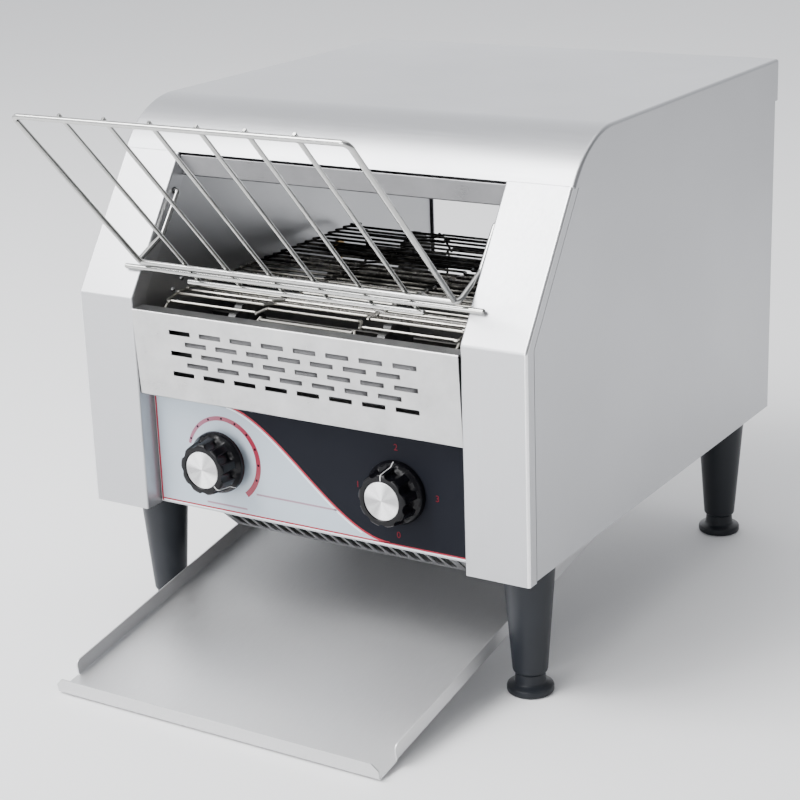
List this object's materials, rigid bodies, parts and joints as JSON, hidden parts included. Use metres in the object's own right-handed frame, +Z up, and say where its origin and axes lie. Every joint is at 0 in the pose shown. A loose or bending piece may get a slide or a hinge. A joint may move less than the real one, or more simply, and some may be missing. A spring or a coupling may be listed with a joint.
{
  "type": "conveyor toaster",
  "caption": "Countertop conveyor toaster: folded steel body on legs, wire belt between quartz tubes, hinged wire feed rack, control knobs and a sloping toast tray.",
  "frame": {"origin": "on the counter under the middle of the assembly's box, which reaches from the tray's lip at the front to the cable gland at the rear", "axes": "+X to the right seen from the front, -Y towards the front, +Z up"},
  "size_m": [0.3702, 0.545, 0.4142],
  "materials": {
    "body_steel": "satin brushed stainless sheet, grain along each panel's length",
    "vent_steel": "mill-finish stainless sheet, slightly blotchy",
    "inner_steel": "bright inner sheet dulled by heat",
    "base_steel": "zinc-coated folded sheet",
    "tray_steel": "satin stainless sheet, grain from front to back",
    "chrome_wire": "bright plated round wire",
    "belt_wire": "stainless wire browned and blackened by heat",
    "drive_steel": "blackened steel, lightly oiled",
    "bush_bronze": "sintered bronze",
    "motor_case": "grey plated motor case",
    "heater_quartz": "milky quartz tube with ceramic ends",
    "phenolic": "brown moulded phenolic",
    "leg_plastic": "semi-gloss black moulded plastic",
    "knob_plastic": "gloss black moulded plastic",
    "knob_cap": "spun aluminium disc",
    "label_film": "printed plastic overlay in light grey and charcoal with red lines"
  },
  "bodies": {
    "housing": {"left_front_column": "body_steel", "right_front_column": "body_steel", "left_side_panel": "body_steel", "right_side_panel": "body_steel", "top_cover": "body_steel", "rear_panel": "body_steel", "vent_panel": "vent_steel", "left_inner_wall": "inner_steel", "right_inner_wall": "inner_steel", "front_header": "inner_steel", "control_panel": "inner_steel", "front_baffle": "inner_steel", "heat_shield": "inner_steel", "upper_reflector": "inner_steel", "lower_reflector": "inner_steel", "base_plate": "base_steel", "lower_guard": "base_steel", "toast_chute": "tray_steel", "wire_belt": "belt_wire", "drive_chain": "drive_steel", "idler_bush_left": "bush_bronze", "idler_bush_right": "bush_bronze", "drive_bush_left": "bush_bronze", "drive_bush_right": "bush_bronze", "gear_motor": "motor_case", "upper_heater_1": "heater_quartz", "upper_heater_2": "heater_quartz", "upper_heater_3": "heater_quartz", "lower_heater_1": "heater_quartz", "lower_heater_2": "heater_quartz", "lower_heater_3": "heater_quartz", "speed_control": "phenolic", "selector_switch": "phenolic", "terminal_block": "phenolic", "leg_front_left": "leg_plastic", "leg_front_right": "leg_plastic", "leg_rear_left": "leg_plastic", "leg_rear_right": "leg_plastic", "cable_gland": "leg_plastic", "control_label": "label_film"},
    "feed_rack": {"feed_rack": "chrome_wire"},
    "toast_tray": {"toast_tray": "tray_steel"},
    "drive_shaft": {"drive_shaft": "drive_steel", "drive_sprocket_1": "drive_steel", "drive_sprocket_2": "drive_steel", "driven_chain_sprocket": "drive_steel"},
    "idler_shaft": {"idler_shaft": "drive_steel", "idler_sprocket_1": "drive_steel", "idler_sprocket_2": "drive_steel"},
    "motor_output": {"motor_chain_sprocket": "drive_steel"},
    "speed_knob": {"speed_knob": "knob_plastic", "speed_knob_cap": "knob_cap", "speed_spindle": "drive_steel"},
    "selector_knob": {"selector_knob": "knob_plastic", "selector_knob_cap": "knob_cap", "selector_spindle": "drive_steel"},
    "foot_front_left": {"foot_front_left": "leg_plastic"},
    "foot_front_right": {"foot_front_right": "leg_plastic"},
    "foot_rear_left": {"foot_rear_left": "leg_plastic"},
    "foot_rear_right": {"foot_rear_right": "leg_plastic"}
  },
  "joints": [
    {"name": "feed_rack_hinge", "type": "hinge", "parent": "housing", "child": "feed_rack", "pos_m": [0, -0.10048, 0.328], "axis": [-1, 0, 0], "range_deg": [0, 133.5]},
    {"name": "toast_tray_slide", "type": "slide", "parent": "housing", "child": "toast_tray", "axis": [0, 0.9853, 0.1706], "range_m": [0, 0.108]},
    {"name": "drive_shaft_spin", "type": "hinge", "parent": "housing", "child": "drive_shaft", "pos_m": [0, 0.10952, 0.2365], "axis": [-1, 0, 0], "continuous": true},
    {"name": "idler_shaft_spin", "type": "hinge", "parent": "housing", "child": "idler_shaft", "pos_m": [0, -0.12148, 0.2365], "axis": [-1, 0, 0], "continuous": true},
    {"name": "motor_output_spin", "type": "hinge", "parent": "housing", "child": "motor_output", "pos_m": [0.147, 0.17252, 0.17], "axis": [-1, 0, 0], "continuous": true},
    {"name": "speed_knob_turn", "type": "hinge", "parent": "housing", "child": "speed_knob", "pos_m": [-0.0736, -0.15748, 0.144], "axis": [0, 1, 0], "range_deg": [-270, 0]},
    {"name": "selector_knob_turn", "type": "hinge", "parent": "housing", "child": "selector_knob", "pos_m": [0.0736, -0.15748, 0.144], "axis": [0, 1, 0], "range_deg": [-90, 180]},
    {"name": "foot_front_left_turn", "type": "hinge", "parent": "housing", "child": "foot_front_left", "pos_m": [-0.1575, -0.11018, 0], "axis": [0, 0, 1], "range_deg": [0, 1440]},
    {"name": "foot_front_right_turn", "type": "hinge", "parent": "housing", "child": "foot_front_right", "pos_m": [0.1575, -0.11018, 0], "axis": [0, 0, 1], "range_deg": [0, 1440]},
    {"name": "foot_rear_left_turn", "type": "hinge", "parent": "housing", "child": "foot_rear_left", "pos_m": [-0.1575, 0.22332, 0], "axis": [0, 0, 1], "range_deg": [0, 1440]},
    {"name": "foot_rear_right_turn", "type": "hinge", "parent": "housing", "child": "foot_rear_right", "pos_m": [0.1575, 0.22332, 0], "axis": [0, 0, 1], "range_deg": [0, 1440]}
  ],
  "couplings": [
    {"joint": "idler_shaft_spin", "follows": "drive_shaft_spin", "ratio": 1},
    {"joint": "motor_output_spin", "follows": "drive_shaft_spin", "ratio": 1.3333}
  ]
}
